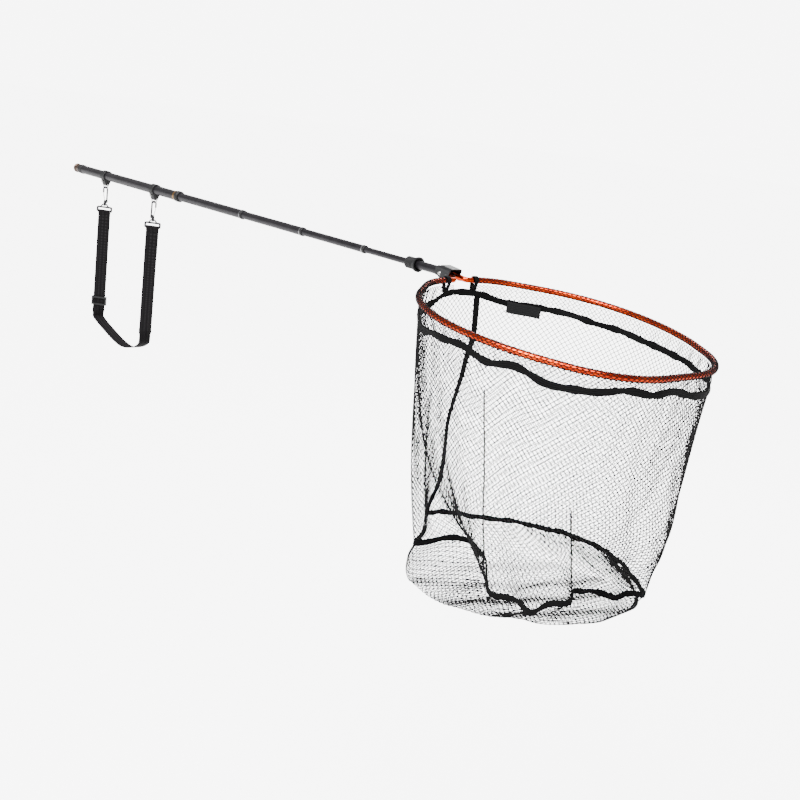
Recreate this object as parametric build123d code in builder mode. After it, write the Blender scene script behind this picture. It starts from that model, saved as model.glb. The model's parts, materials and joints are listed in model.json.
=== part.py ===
from build123d import *
import os
from math import cos, radians, sin

# Folding, telescopic landing net. Millimetres. +X runs along the pole towards the head, +Z is up and
# the origin is on the pole's axis, midway between the two strap clamps on the butt tube.

os.makedirs("parts", exist_ok=True)

# ---------------------------------------------------------------- driving dimensions: pole
CLEAR = 0.3              # radial clearance of a telescoping or sliding fit
PIN_CLEAR = 0.05         # radial running clearance of the hinge pin
BUTT_END = -342.0        # rear face of the butt cap
MOUTH_1 = 286.0          # front mouth of the butt tube
SHOWN_2 = 313.0          # length of section 2 in view, mouth to mouth
SHOWN_3 = 257.0
SHOWN_4 = 233.0
SHOWN_TIP = 145.0        # tip tube in view, up to the head connector
HIDDEN_2 = 207.0         # length of each section still inside the one behind it
HIDDEN_3 = 243.0
HIDDEN_4 = 247.0
HIDDEN_TIP = 230.0
BUTT_OD = 25.0
TUBE_WALL = 1.2          # wall of the butt tube
INNER_WALL = 1.0         # wall of the inner sections

# ---------------------------------------------------------------- driving dimensions: pole fittings
CAP_LENGTH = 30.0
CAP_DISC = 5.0           # thickness of the cap's rounded end disc
CAP_NECK_OD = 22.0
CAP_PLUG = 26.0          # how far the cap's plug reaches into the tube
BUTT_RING_LENGTH = 18.0
TRIM_WIDTH = 9.0         # knurled trim ring at the first mouth
TRIM_NOTCHES = 18
COLLAR_OD = 30.0
COLLAR_LENGTH = 15.0
SMALL_TRIM = 3.0         # width of the thin rings at the other mouths
SMALL_LIP = 6.0          # black lip in front of each thin ring
CLAMP_SPREAD = 294.0     # distance between the two strap clamps
CLAMP_OD = 31.0
CLAMP_WIDTH = 22.0
LUG_DROP = 28.2          # pole axis to the bottom of the clamp's lug
LUG_FOOT = 7.6           # width of the lug's flat foot
RING_PIVOT = 24.5        # pole axis to the D-ring's bar
CLAMP_SCREW_D = 3.6

# ---------------------------------------------------------------- driving dimensions: head joint
CONNECTOR_OD = 18.0
CONNECTOR_LENGTH = 116.0
PIVOT_DROP = 2.0         # the hinge pin sits this far below the pole's axis
HEAD_DROOP = 5.8         # degrees that the open head dips below the pole's line
PIN_D = 6.0
BRACKET_WIDTH = 33.8
BRACKET_WALL = 2.0
BRACKET_TOP = 17.0       # pin centre to the top of the bracket
BRACKET_FOOT = 5.5       # pin centre to the flanges' lower edge
BRACKET_REAR = 14.0      # pin centre to the flanges' rear ends
PLATE_REAR = 3.0         # pin centre to the top plate's rear edge
BRACKET_FRONT = 30.0     # pin centre to the front mouth
SLEEVE_LENGTH = 36.0
SLEEVE_OD = 25.5
SLEEVE_LIP_OD = 32.0
SLEEVE_RIBS = 5
SLEEVE_CUP = 7.0         # depth of the open cup in the sleeve's front
SLEEVE_CUP_D = 24.5

# ---------------------------------------------------------------- driving dimensions: hoop
HOOP_TUBE = 11.0
HOOP_WALL = 1.2
HOOP_FRONT = 601.0       # pin centre to the hoop's front, along the pole
HOOP_HALF_WIDTH = 262.0
ARM_GAP = 30.0           # distance between the two arms' centrelines
ARM_BEND = 46.0          # pin centre to the line of the shoulders
ARM_BEND_R = 8.0 
FLAT_END = 5.0           # thickness of the arms' flattened ends
FLAT_HEIGHT = 13.5
FLAT_START = 11.0        # pin centre to the arms' ends

# ---------------------------------------------------------------- driving dimensions: net bag
NET_T = 1.6              # thickness that stands for the knotted netting
SLEEVE_NET_OD = 13.4     # netting wrapped round the hoop
COLLAR_DROP = 31.0       # hoop plane to the upper band
BAND_H = 15.0
BAG_DROP = 470.0         # hinge pin to the lower band, which hangs level
BOTTOM_SAG = 68.0        # lower band to the lowest point
RING_SCALE_X = 0.90      # lower band's length against the hoop's
RING_SCALE_Y = 0.72
SAG_SCALE = 0.62

# ---------------------------------------------------------------- driving dimensions: carrying strap
WEB_W = 36.0
WEB_T = 1.8
FACE_TURN = 45.0         # the strap hardware is turned this far out of the pole's plane
HOOK_BAR = 4.6
HOOK_HALF = 5.6          # half the hook's width, bar centre to bar centre
HOOK_TOP = 35.0          # pole axis to the inside of the hook's bend
HOOK_LENGTH = 44.0
GATE_WIRE = 1.8
RING_WIRE = 2.4
LOOP_BAR = 4.6
LOOP_HEIGHT = 17.0
ADJUSTER_Z = -378.0      # centre of the tri-glide adjuster
STRAP_LOW = -475.0       # lowest point of the hanging strap
STRAP_DIP = 40.0         # where along the pole the strap hangs lowest

# ---------------------------------------------------------------- derived places
mouth_2 = MOUTH_1 + SHOWN_2
mouth_3 = mouth_2 + SHOWN_3
mouth_4 = mouth_3 + SHOWN_4
connector_rear = mouth_4 + SHOWN_TIP
pivot_x = connector_rear + CONNECTOR_LENGTH
pivot_z = -PIVOT_DROP
od_2 = BUTT_OD - 2 * TUBE_WALL - 2 * CLEAR
od_3 = od_2 - 2 * INNER_WALL - 2 * CLEAR
od_4 = od_3 - 2 * INNER_WALL - 2 * CLEAR
od_tip = od_4 - 2 * INNER_WALL - 4 * CLEAR
clamp_x = (-CLAMP_SPREAD / 2, CLAMP_SPREAD / 2)


def across(x):
    """The plane across the pole at x, whose normal points to the head."""
    return Plane(origin=(x, 0, 0), x_dir=(0, 1, 0), z_dir=(1, 0, 0))


dip = radians(HEAD_DROOP)
head_x = Vector(cos(dip), 0, -sin(dip))
head_up = Vector(sin(dip), 0, cos(dip))


def head_side(offset):
    """The head's own upright plane: first axis forward from the pin, second axis up, set off sideways."""
    return Plane(origin=(pivot_x, -offset, pivot_z), x_dir=head_x, z_dir=(0, -1, 0))


def head_level(drop):
    """A plane parallel to the hoop, hung straight down from it by a drop; its first axis runs forward."""
    return Plane(origin=(pivot_x, 0, pivot_z - drop), x_dir=head_x, z_dir=head_up)


def bag_level(drop):
    """A level plane hung a drop below the pin, with the same forward axis as the head seen from above."""
    return Plane(origin=(pivot_x, 0, pivot_z - drop), x_dir=(1, 0, 0), z_dir=(0, 0, 1))


def head_across(x, y):
    """A plane across the head at a distance forward of the pin, centred at y."""
    centre = Vector(pivot_x, y, pivot_z) + head_x * x
    return Plane(origin=centre, x_dir=(0, 1, 0), z_dir=head_x)


def finish(piece, label):
    """Label a finished piece and write it to its own STEP file."""
    piece.part.label = label
    export_step(piece.part, "parts/" + label + ".step")


def pole_tube(rear, front, outer, wall):
    """A plain drawn tube along the pole with lightly broken edges."""
    with BuildPart() as tube:
        with BuildSketch(across(rear)):
            Circle(outer / 2)
            Circle(outer / 2 - wall, mode=Mode.SUBTRACT)
        extrude(amount=front - rear)
    return tube


def turned(points):
    """A turned piece: a closed half profile of (x, radius) points, revolved about the pole's axis."""
    with BuildPart() as piece:
        with BuildSketch(Plane.XZ):
            with BuildLine():
                Polyline(*points, close=True)
            make_face()
        revolve(axis=Axis.X)
    return piece


# ---------------------------------------------------------------- butt tube and its ends
tube_rear = BUTT_END + CAP_LENGTH
finish(pole_tube(tube_rear, MOUTH_1, BUTT_OD, TUBE_WALL), "butt_tube")

# The cap: a rounded end disc, a waisted neck, and a plug that the tube slides over.
plug_r = BUTT_OD / 2 - TUBE_WALL
with BuildPart() as butt_cap:
    with BuildSketch(Plane.XZ):
        with BuildLine():
            Polyline(
                (BUTT_END, 0),
                (BUTT_END, BUTT_OD / 2 - 1.5),
                (BUTT_END + 2, BUTT_OD / 2 + 1),
                (BUTT_END + CAP_DISC, BUTT_OD / 2 + 1),
                (BUTT_END + CAP_DISC + 3, CAP_NECK_OD / 2),
                (tube_rear - 2, CAP_NECK_OD / 2 + 0.6),
                (tube_rear, BUTT_OD / 2),
                (tube_rear, plug_r),
                (tube_rear + CAP_PLUG - 2, plug_r),
                (tube_rear + CAP_PLUG, plug_r - 1.5),
                (tube_rear + CAP_PLUG, 0),
                close=True,
            )
        make_face()
    revolve(axis=Axis.X)
finish(butt_cap, "butt_cap")

r0 = BUTT_OD / 2
finish(
    turned(
        [
            (tube_rear, r0),
            (tube_rear + 1, r0 + 1.2),
            (tube_rear + BUTT_RING_LENGTH - 2, r0 + 1.2),
            (tube_rear + BUTT_RING_LENGTH, r0),
        ]
    ),
    "butt_ring",
)

# ---------------------------------------------------------------- mouth of the butt tube
trim_x = MOUTH_1 - COLLAR_LENGTH - TRIM_WIDTH + 3
with BuildPart() as trim_ring_1:
    with BuildSketch(across(trim_x)):
        Circle(r0 + 1.3)
        Circle(r0, mode=Mode.SUBTRACT)
    extrude(amount=TRIM_WIDTH)
    with BuildSketch(across(trim_x)):
        with PolarLocations(r0 + 1.3, TRIM_NOTCHES):
            Rectangle(1.0, 1.3)
    extrude(amount=TRIM_WIDTH, mode=Mode.SUBTRACT)
finish(trim_ring_1, "trim_ring_1")

collar_x = trim_x + TRIM_WIDTH
collar_front = MOUTH_1 + 3
finish(
    turned(
        [
            (collar_x, r0),
            (collar_x, COLLAR_OD / 2 - 1),
            (collar_x + 1, COLLAR_OD / 2),
            (collar_front - 4, COLLAR_OD / 2),
            (collar_front, COLLAR_OD / 2 - 2.2),
            (collar_front, od_2 / 2 + CLEAR),
            (MOUTH_1, od_2 / 2 + CLEAR),
            (MOUTH_1, r0),
        ]
    ),
    "mouth_collar_1",
)

# ---------------------------------------------------------------- telescoping sections
finish(pole_tube(MOUTH_1 - HIDDEN_2, mouth_2, od_2, INNER_WALL), "section_2")
finish(pole_tube(mouth_2 - HIDDEN_3, mouth_3, od_3, INNER_WALL), "section_3")
finish(pole_tube(mouth_3 - HIDDEN_4, mouth_4, od_4, INNER_WALL), "section_4")
finish(pole_tube(mouth_4 - HIDDEN_TIP, connector_rear + 30, od_tip, INNER_WALL), "tip_tube")


def small_mouth(front, outer, inner_child, number):
    """The thin bright ring and the black lip at the mouth of a section."""
    ring_rear = front - SMALL_LIP - SMALL_TRIM + 2
    r = outer / 2
    finish(
        turned(
            [
                (ring_rear, r),
                (ring_rear, r + 0.9),
                (ring_rear + SMALL_TRIM, r + 0.9),
                (ring_rear + SMALL_TRIM, r),
            ]
        ),
        "trim_ring_" + str(number),
    )
    lip_rear = ring_rear + SMALL_TRIM
    lip_front = lip_rear + SMALL_LIP
    bore = inner_child / 2 + CLEAR
    finish(
        turned(
            [
                (lip_rear, r),
                (lip_rear, r + 0.6),
                (lip_front - 1, r + 0.6),
                (lip_front, r - 0.4),
                (lip_front, bore),
                (front, bore),
                (front, r),
            ]
        ),
        "mouth_lip_" + str(number),
    )


small_mouth(mouth_2, od_2, od_3, 2)
small_mouth(mouth_3, od_3, od_4, 3)
small_mouth(mouth_4, od_4, od_tip, 4)

# ---------------------------------------------------------------- strap clamps
screw_z = -(BUTT_OD / 2 + 3.4)


def strap_clamp(x, label):
    """A band round the butt tube that runs down into a wedge-shaped lug bored for the D-ring."""
    with BuildPart() as clamp:
        with BuildSketch(across(x - CLAMP_WIDTH / 2)):
            Circle(CLAMP_OD / 2)
            with BuildLine():
                Polyline(
                    (-CLAMP_OD / 2 * 0.94, -CLAMP_OD / 2 * 0.34),
                    (-LUG_FOOT / 2, -LUG_DROP),
                    (LUG_FOOT / 2, -LUG_DROP),
                    (CLAMP_OD / 2 * 0.94, -CLAMP_OD / 2 * 0.34),
                    close=True,
                )
            make_face()
            Circle(BUTT_OD / 2, mode=Mode.SUBTRACT)
        extrude(amount=CLAMP_WIDTH)
        chamfer(clamp.faces().sort_by(Axis.X)[-1].outer_wire().edges(), 0.8)
        chamfer(clamp.faces().sort_by(Axis.X)[0].outer_wire().edges(), 0.8)
        # split line of the lug, closed by the screw
        with Locations((x, 0, -(BUTT_OD / 2 + 3.2))):
            Box(CLAMP_WIDTH, 1.0, 7.0, mode=Mode.SUBTRACT)
        with BuildSketch(Plane.XZ.offset(-LUG_DROP)):
            with Locations((x, screw_z)):
                Circle(CLAMP_SCREW_D / 2)
        extrude(amount=2 * LUG_DROP, mode=Mode.SUBTRACT)
        with BuildSketch(across(x - CLAMP_WIDTH)):
            with Locations((0, -RING_PIVOT)):
                Circle(RING_WIRE / 2 + CLEAR)
        extrude(amount=2 * CLAMP_WIDTH, mode=Mode.SUBTRACT)
    finish(clamp, label)


strap_clamp(clamp_x[0], "strap_clamp_rear")
strap_clamp(clamp_x[1], "strap_clamp_front")

lug_half = 12.0
with BuildPart() as clamp_screws:
    for place in clamp_x:
        with BuildSketch(Plane.XZ.offset(-lug_half)):
            with Locations((place, screw_z)):
                Circle(CLAMP_SCREW_D / 2)
        extrude(amount=2 * lug_half)
        with BuildSketch(Plane.XZ.offset(lug_half)):
            with Locations((place, screw_z)):
                Circle(CLAMP_SCREW_D / 2 + 1.5)
                RegularPolygon(1.5, 6, mode=Mode.SUBTRACT)
        extrude(amount=2.0)
finish(clamp_screws, "clamp_screws")

# ---------------------------------------------------------------- head connector and its lock sleeve
boss_half = BRACKET_WIDTH / 2 - BRACKET_WALL - CLEAR
with BuildPart() as connector:
    with BuildSketch(Plane.XZ):
        with BuildLine():
            Polyline(
                (connector_rear, od_tip / 2),
                (connector_rear, CONNECTOR_OD / 2 - 2),
                (connector_rear + 3, CONNECTOR_OD / 2),
                (pivot_x, CONNECTOR_OD / 2),
                (pivot_x, 0),
                (connector_rear + 30, 0),
                (connector_rear + 30, od_tip / 2),
                close=True,
            )
        make_face()
    revolve(axis=Axis.X)
    with BuildSketch(Plane.XZ.offset(-boss_half)):
        with Locations((pivot_x, pivot_z)):
            Circle(CONNECTOR_OD / 2)
    extrude(amount=2 * boss_half)
    with BuildSketch(Plane.XZ.offset(-boss_half)):
        with Locations((pivot_x, pivot_z)):
            Circle(PIN_D / 2 + PIN_CLEAR)
    extrude(amount=2 * boss_half, mode=Mode.SUBTRACT)
finish(connector, "connector")

sleeve_front = connector_rear - 2 + SLEEVE_LENGTH
sleeve_rear = connector_rear - 2
bore_r = CONNECTOR_OD / 2 + CLEAR
body_end = sleeve_front - 9.0
pitch = (body_end - sleeve_rear - 4) / SLEEVE_RIBS
ribs = [(sleeve_rear, SLEEVE_OD / 2 - 3), (sleeve_rear + 3, SLEEVE_OD / 2)]
for k in range(SLEEVE_RIBS):
    start = sleeve_rear + 4 + k * pitch
    ribs.append((start + pitch * 0.2, SLEEVE_OD / 2))
    ribs.append((start + pitch * 0.35, SLEEVE_OD / 2 - 0.8))
    ribs.append((start + pitch * 0.75, SLEEVE_OD / 2 - 0.8))
    ribs.append((start + pitch * 0.9, SLEEVE_OD / 2))
finish(
    turned(
        [(sleeve_rear, bore_r)]
        + ribs
        + [
            (body_end, SLEEVE_OD / 2 + 0.4),
            (body_end + 3, SLEEVE_LIP_OD / 2 - 0.8),
            (sleeve_front - 3, SLEEVE_LIP_OD / 2),
            (sleeve_front, SLEEVE_LIP_OD / 2),
            (sleeve_front, SLEEVE_CUP_D / 2 + 1.6),
            (sleeve_front - 1, SLEEVE_CUP_D / 2),
            (sleeve_front - SLEEVE_CUP, SLEEVE_CUP_D / 2),
            (sleeve_front - SLEEVE_CUP, bore_r),
        ]
    ),
    "lock_sleeve",
)

# ---------------------------------------------------------------- folding bracket, pin and rivets
half_w = BRACKET_WIDTH / 2
rivet_x = 18.0
with BuildPart() as bracket:
    with BuildSketch(head_side(-half_w)):
        with BuildLine():
            Polyline(
                (-BRACKET_REAR, -BRACKET_FOOT + 3),
                (-BRACKET_REAR, BRACKET_REAR * 0.72),
                (-PLATE_REAR - 3, BRACKET_TOP),
                (BRACKET_FRONT, BRACKET_TOP),
                (BRACKET_FRONT - 5.5, -BRACKET_FOOT),
                (-BRACKET_REAR + 3, -BRACKET_FOOT),
                close=True,
            )
        make_face()
    extrude(amount=BRACKET_WIDTH)
    top_face = bracket.faces().sort_by(Axis.Z)[-1]
    fillet([e for e in top_face.edges() if e.length > BRACKET_FRONT and abs(e.center().Y) > half_w - 1], 5.5)
    with BuildSketch(head_side(-half_w + BRACKET_WALL)):
        with Locations((0, BRACKET_TOP - BRACKET_WALL - 25)):
            Rectangle(200, 50)
        # the top plate stops short of the pin, so that the head can fold
        with Locations((-PLATE_REAR - 10, BRACKET_TOP)):
            Rectangle(20, 20)
    extrude(amount=BRACKET_WIDTH - 2 * BRACKET_WALL, mode=Mode.SUBTRACT)
    with BuildSketch(head_side(-half_w)):
        with Locations((0, 0), (rivet_x, 0)):
            Circle(PIN_D / 2)
    extrude(amount=BRACKET_WIDTH, mode=Mode.SUBTRACT)
finish(bracket, "bracket")


def side_pin(x, dia, head, half, label, gap=0.0):
    """A pin across the bracket, x forward of the hinge, with a domed head over each flange.

    With a gap it is two short rivets, which leave the middle free for the connector when folded."""
    with BuildPart() as pin:
        with BuildSketch(head_side(-half)):
            with Locations((x, 0)):
                Circle(dia / 2)
        extrude(amount=2 * half)
        for side in (-1, 1):
            centre = Vector(pivot_x, side * half, pivot_z) + head_x * x
            with BuildSketch(Plane(origin=centre, x_dir=head_x, z_dir=(0, side, 0))):
                Circle(head / 2)
            extrude(amount=1.8, taper=35)
        if gap:
            middle = Vector(pivot_x, 0, pivot_z) + head_x * x
            with Locations(middle):
                Box(2 * head, 2 * gap, 2 * head, mode=Mode.SUBTRACT)
    finish(pin, label)


side_pin(0, PIN_D, PIN_D + 2.2, half_w, "hinge_pin")

# ---------------------------------------------------------------- hoop
hw = HOOP_HALF_WIDTH
run = HOOP_FRONT - ARM_BEND
corner_a = (ARM_BEND + 0.012 * run, 0.336 * hw)
corner_b = (ARM_BEND + 0.261 * run, hw)
corner_c = (ARM_BEND + 0.643 * run, hw)
corner_d = (HOOP_FRONT, 0.573 * hw)
bend_radii = [0.27 * run, 0.46 * run, 0.58 * run, 0.33 * run]


def hoop_outline(scale_x=1.0, scale_y=1.0, inset=0.0):
    """The closed, eight-cornered outline of the hoop as points and bend radii, scaled about its middle."""
    mid = (ARM_BEND + HOOP_FRONT) / 2
    half_points = []
    for px, py in (corner_a, corner_b, corner_c, corner_d):
        sx = scale_x - inset / (HOOP_FRONT - mid)
        sy = scale_y - inset / hw
        half_points.append((mid + (px - mid) * sx, py * sy))
    points = half_points + [(px, -py) for px, py in reversed(half_points)]
    smaller = min(scale_x, scale_y)
    radii = [r * smaller for r in bend_radii]
    return points, radii + radii[::-1]


def outline_face(plane, scale_x=1.0, scale_y=1.0, inset=0.0):
    """A flat face in the hoop's outline."""
    points, radii = hoop_outline(scale_x, scale_y, inset)
    with BuildSketch(plane) as face:
        with BuildLine():
            FilletPolyline(*points, radius=radii, close=True)
        make_face()
    return face


arm_y = ARM_GAP / 2
round_start = BRACKET_FRONT + 8
left_half = [(round_start, arm_y), (ARM_BEND, arm_y), corner_a, corner_b, corner_c, corner_d]
hoop_points = left_half + [(px, -py) for px, py in reversed(left_half)]
hoop_radii = [ARM_BEND_R] + bend_radii
hoop_radii = hoop_radii + hoop_radii[::-1]


def hoop_wire():
    """The centreline of the bent hoop, from one arm round to the other."""
    with BuildLine(head_level(0)) as route:
        FilletPolyline(*hoop_points, radius=hoop_radii)
    return route.wires()[0]


flat_y = boss_half - FLAT_END / 2
flat_front = BRACKET_FRONT + 0.5
with BuildPart() as hoop:
    with BuildSketch(head_across(round_start, arm_y)):
        Circle(HOOP_TUBE / 2)
        Circle(HOOP_TUBE / 2 - HOOP_WALL, mode=Mode.SUBTRACT)
    sweep(path=hoop_wire())
    # the arms' ends are pressed flat inside the bracket
    for side in (-1, 1):
        with BuildSketch(head_across(round_start, side * arm_y)):
            Circle(HOOP_TUBE / 2)
        with BuildSketch(head_across(flat_front, side * flat_y)):
            Ellipse(FLAT_END / 2, FLAT_HEIGHT / 2)
        loft()
        with BuildSketch(head_across(flat_front, side * flat_y)):
            Ellipse(FLAT_END / 2, FLAT_HEIGHT / 2)
        extrude(amount=-(flat_front - FLAT_START))
    with BuildSketch(head_side(-half_w)):
        with Locations((rivet_x, 0)):
            Circle(PIN_D / 2)
    extrude(amount=BRACKET_WIDTH, mode=Mode.SUBTRACT)
finish(hoop, "hoop")

side_pin(rivet_x, PIN_D, PIN_D + 2.2, half_w, "arm_rivet", gap=boss_half - FLAT_END)

# ---------------------------------------------------------------- netting and tapes
with BuildPart() as net_sleeve:
    with BuildSketch(head_across(round_start, arm_y)):
        Circle(SLEEVE_NET_OD / 2)
        Circle(HOOP_TUBE / 2, mode=Mode.SUBTRACT)
    sweep(path=hoop_wire())
finish(net_sleeve, "net_sleeve")

NET_IN = 1.5             # the net hangs this far inside the hoop's outline
collar_drop = SLEEVE_NET_OD / 2 + 2.2
down = Vector(0, 0, -1)


def ring_wall(level, height, thickness, scale_x, scale_y, label, outset=0.0):
    """A band that follows the hoop's outline, hung down from a plane."""
    with BuildPart() as ring:
        outer = outline_face(level, scale_x, scale_y, -outset)
        inner = outline_face(level, scale_x, scale_y, thickness - outset)
        extrude(outer.sketch.face(), amount=height, dir=down)
        extrude(inner.sketch.face(), amount=height, dir=down, mode=Mode.SUBTRACT)
    finish(ring, label)


bag_top = COLLAR_DROP + BAND_H
low_bottom = BAG_DROP + BAND_H
sag_drop = low_bottom + BOTTOM_SAG
ring_wall(head_level(collar_drop), COLLAR_DROP - collar_drop, NET_T, 1.0, 1.0, "net_collar", outset=-NET_IN)
ring_wall(head_level(COLLAR_DROP), BAND_H, NET_T + 0.8, 1.0, 1.0, "upper_band", outset=0.4 - NET_IN)
ring_wall(bag_level(BAG_DROP), BAND_H, NET_T + 0.8, RING_SCALE_X, RING_SCALE_Y, "lower_band", outset=0.4)

with BuildPart() as bag_wall:
    top_out = outline_face(head_level(bag_top), 1.0, 1.0, NET_IN)
    low_out = outline_face(bag_level(BAG_DROP), RING_SCALE_X, RING_SCALE_Y, 0)
    top_in = outline_face(head_level(bag_top), 1.0, 1.0, NET_IN + NET_T)
    low_in = outline_face(bag_level(BAG_DROP), RING_SCALE_X, RING_SCALE_Y, NET_T)
    loft([top_out.sketch.face(), low_out.sketch.face()], ruled=True)
    loft([top_in.sketch.face(), low_in.sketch.face()], ruled=True, mode=Mode.SUBTRACT)
finish(bag_wall, "bag_wall")

sag_x = RING_SCALE_X * SAG_SCALE
sag_y = RING_SCALE_Y * SAG_SCALE
with BuildPart() as bag_bottom:
    rim_out = outline_face(bag_level(low_bottom), RING_SCALE_X, RING_SCALE_Y, 0)
    base_out = outline_face(bag_level(sag_drop), sag_x, sag_y, 0)
    rim_in = outline_face(bag_level(low_bottom), RING_SCALE_X, RING_SCALE_Y, NET_T)
    base_in = outline_face(bag_level(sag_drop - NET_T), sag_x, sag_y, NET_T)
    loft([rim_out.sketch.face(), base_out.sketch.face()], ruled=True)
    loft([rim_in.sketch.face(), base_in.sketch.face()], ruled=True, mode=Mode.SUBTRACT)
finish(bag_bottom, "bag_bottom")

# a flat tape sewn down the outside of the wall, under the head joint
mid_x = (ARM_BEND + HOOP_FRONT) / 2
rear_x = corner_a[0]
TAPE_W = 16.0
TAPE_T = 1.6
tape_top = head_level(bag_top).from_local_coords(Vector(rear_x + NET_IN - 1.2, 0, 0))
tape_low = bag_level(BAG_DROP).from_local_coords(Vector(mid_x - (mid_x - rear_x) * RING_SCALE_X - 1.2, 0, 0))
with BuildPart() as seam_tape:
    with BuildSketch(Plane.XZ.offset(-TAPE_W / 2)):
        with BuildLine():
            Polyline(
                (tape_top.X, tape_top.Z),
                (tape_low.X, tape_low.Z),
                (tape_low.X - TAPE_T, tape_low.Z),
                (tape_top.X - TAPE_T, tape_top.Z),
                close=True,
            )
        make_face()
    extrude(amount=TAPE_W)
finish(seam_tape, "seam_tape")

# tape loops that tie the netting to the shoulders beside the arms
TIE_W = 11.0
shoulder = Vector(corner_a[0] - ARM_BEND, corner_a[1] - arm_y, 0).normalized()
with BuildPart() as arm_ties:
    for side in (-1, 1):
        along = head_x * shoulder.X + Vector(0, side * shoulder.Y, 0)
        tie_mid = Vector(pivot_x, side * arm_y, pivot_z) + head_x * ARM_BEND + along * 20
        with BuildSketch(Plane(origin=tie_mid, x_dir=head_up, z_dir=along)):
            Circle(SLEEVE_NET_OD / 2 + 1.7)
            Circle(SLEEVE_NET_OD / 2 + 0.2, mode=Mode.SUBTRACT)
        extrude(amount=TIE_W)
finish(arm_ties, "arm_ties")

# a plain woven tag on the inside of the upper band
TAG_W = 62.0
TAG_H = 34.0
edge_b = Vector(corner_b[0] - corner_a[0], corner_b[1] - corner_a[1], 0).normalized()
tag_level = head_level(COLLAR_DROP + BAND_H / 2)
tag_mid = Vector(
    corner_a[0] + 0.45 * (corner_b[0] - corner_a[0]),
    corner_a[1] + 0.45 * (corner_b[1] - corner_a[1]),
    0,
)
tag_in = Vector(edge_b.Y, -edge_b.X, 0)
tag_origin = tag_level.from_local_coords(tag_mid + tag_in * (NET_IN + NET_T + 4.5))
tag_x = head_x * edge_b.X + Vector(0, edge_b.Y, 0)
tag_out = head_x * tag_in.X + Vector(0, tag_in.Y, 0)
with BuildPart() as label_tag:
    with BuildSketch(Plane(origin=tag_origin, x_dir=tag_x, z_dir=tag_out)):
        RectangleRounded(TAG_W, TAG_H, 1.5)
    extrude(amount=1.0)
finish(label_tag, "label_tag")

# ---------------------------------------------------------------- carrying strap and its hardware
turn = radians(FACE_TURN)
u_dir = Vector(cos(turn), sin(turn), 0)
face_dir = Vector(sin(turn), -cos(turn), 0)


def upright(x):
    """The plane that the strap hardware at x lies in: first axis across the strap, second axis up."""
    return Plane(origin=(x, 0, 0), x_dir=u_dir, z_dir=face_dir)


def round_bar(plane, points, radii, dia, closed=False):
    """A round bar bent along a path in a plane; points are (across, up)."""
    with BuildPart() as bar:
        with BuildLine(plane) as route:
            FilletPolyline(*points, radius=radii, close=closed)
        wire = route.wires()[0]
        with BuildSketch(Plane(origin=wire @ 0, z_dir=wire % 0)):
            Circle(dia / 2)
        sweep(path=wire)
    return bar


ring_low = -(HOOK_TOP + RING_WIRE / 2 + 0.2)
ring_half = CLAMP_WIDTH / 2 + RING_WIRE / 2 + 1.0


def d_ring(x, label):
    """A D-ring whose bar runs through the clamp's lug, along the pole."""
    with BuildPart() as ring:
        with BuildLine(Plane.XZ) as route:
            FilletPolyline(
                (x - ring_half, -RING_PIVOT),
                (x - ring_half, ring_low),
                (x + ring_half, ring_low),
                (x + ring_half, -RING_PIVOT),
                radius=[1.8, 7.0, 7.0, 1.8],
                close=True,
            )
        wire = route.wires()[0]
        with BuildSketch(Plane(origin=wire @ 0, z_dir=wire % 0)):
            Circle(RING_WIRE / 2)
        sweep(path=wire)
    finish(ring, label)


d_ring(clamp_x[0], "d_ring_rear")
d_ring(clamp_x[1], "d_ring_front")

hook_low = -HOOK_TOP - HOOK_LENGTH
bend_z = -HOOK_TOP + HOOK_BAR / 2          # centreline of the hook's bend
nose_z = bend_z - HOOK_HALF - 11.0
pivot_u = 0.9                              # gate pivot, towards the nose
pivot_up = hook_low + 4.6


def snap_hook(x, nose, label):
    """A cast snap hook: spine, bend and nose in one bar, a heel for the gate and a swivel stud."""
    plane = upright(x)
    with BuildPart() as hook:
        with BuildLine(plane) as route:
            FilletPolyline(
                (-nose * HOOK_HALF, hook_low + 2),
                (-nose * HOOK_HALF, bend_z),
                (nose * HOOK_HALF, bend_z),
                (nose * HOOK_HALF, nose_z),
                radius=HOOK_HALF - 0.4,
            )
        wire = route.wires()[0]
        with BuildSketch(Plane(origin=wire @ 0, z_dir=wire % 0)):
            Circle(HOOK_BAR / 2)
        sweep(path=wire)
        # heel block with the slot that holds the gate's lower end
        with BuildSketch(plane.offset(-2.6)):
            with BuildLine():
                Polyline(
                    (-nose * (HOOK_HALF + 2.2), hook_low + 9),
                    (-nose * (HOOK_HALF + 2.2), hook_low + 1),
                    (-nose * (HOOK_HALF - 2.0), hook_low - 2),
                    (nose * 3.6, hook_low - 2),
                    (nose * 2.6, hook_low + 6),
                    (-nose * (HOOK_HALF - 2.4), hook_low + 9),
                    close=True,
                )
            make_face()
        extrude(amount=5.2)
        with BuildSketch(plane.offset(-1.3)):
            with Locations((nose * 3.0, pivot_up + 3.0)):
                Rectangle(9.0, 11.0)
        extrude(amount=2.6, mode=Mode.SUBTRACT)
        with BuildSketch(plane.offset(-2.6)):
            with Locations((nose * pivot_u, pivot_up)):
                Circle(0.7)
        extrude(amount=5.2)
        # swivel stud and its riveted foot under the ring's bridge
        with BuildSketch(Plane(origin=(x, 0, hook_low - 1), z_dir=(0, 0, -1))):
            Circle(2.0)
        extrude(amount=8.5)
        with BuildSketch(Plane(origin=(x, 0, hook_low - 2), z_dir=(0, 0, -1))):
            Circle(3.9)
        extrude(amount=1.6)
        with BuildSketch(Plane(origin=(x, 0, hook_low - 7.4), z_dir=(0, 0, -1))):
            Circle(3.6)
        extrude(amount=2.1, taper=20)
    finish(hook, label)


snap_hook(clamp_x[0], -1, "hook_body_rear")
snap_hook(clamp_x[1], 1, "hook_body_front")


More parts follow.
